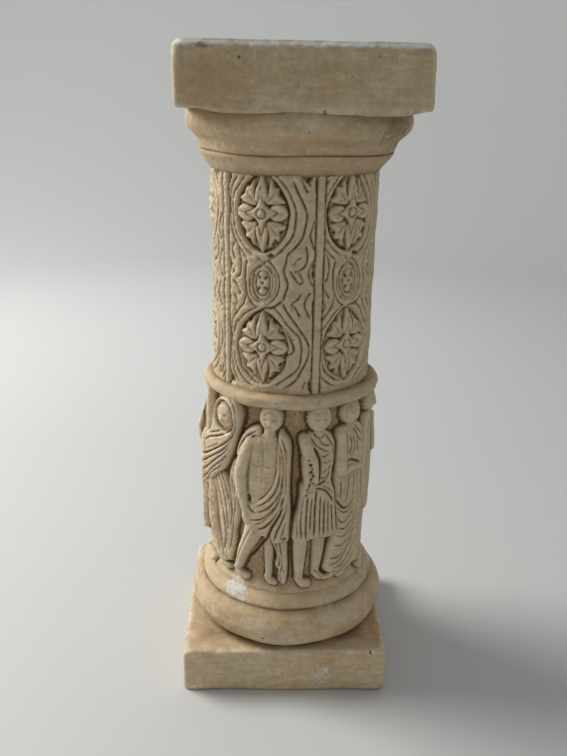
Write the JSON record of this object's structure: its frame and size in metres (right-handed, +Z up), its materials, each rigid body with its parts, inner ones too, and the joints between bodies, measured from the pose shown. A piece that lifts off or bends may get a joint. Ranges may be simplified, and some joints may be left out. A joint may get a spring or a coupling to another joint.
{
  "type": "greek column",
  "caption": "Cast plaster column on a square plinth: drum with figures in relief, ring, carved shaft, turned capital and square abacus.",
  "frame": {"origin": "middle of the plinth's underside, at the surface it stands on", "axes": "+Z up the column; -Y out of the front that the picture shows; +X to the right of that front"},
  "size_m": [0.1034, 0.1012, 0.3],
  "materials": {
    "plaster": "cream plaster with an ochre wash, brown in the hollows"
  },
  "bodies": {
    "root": {"column": "plaster"}
  },
  "joints": []
}
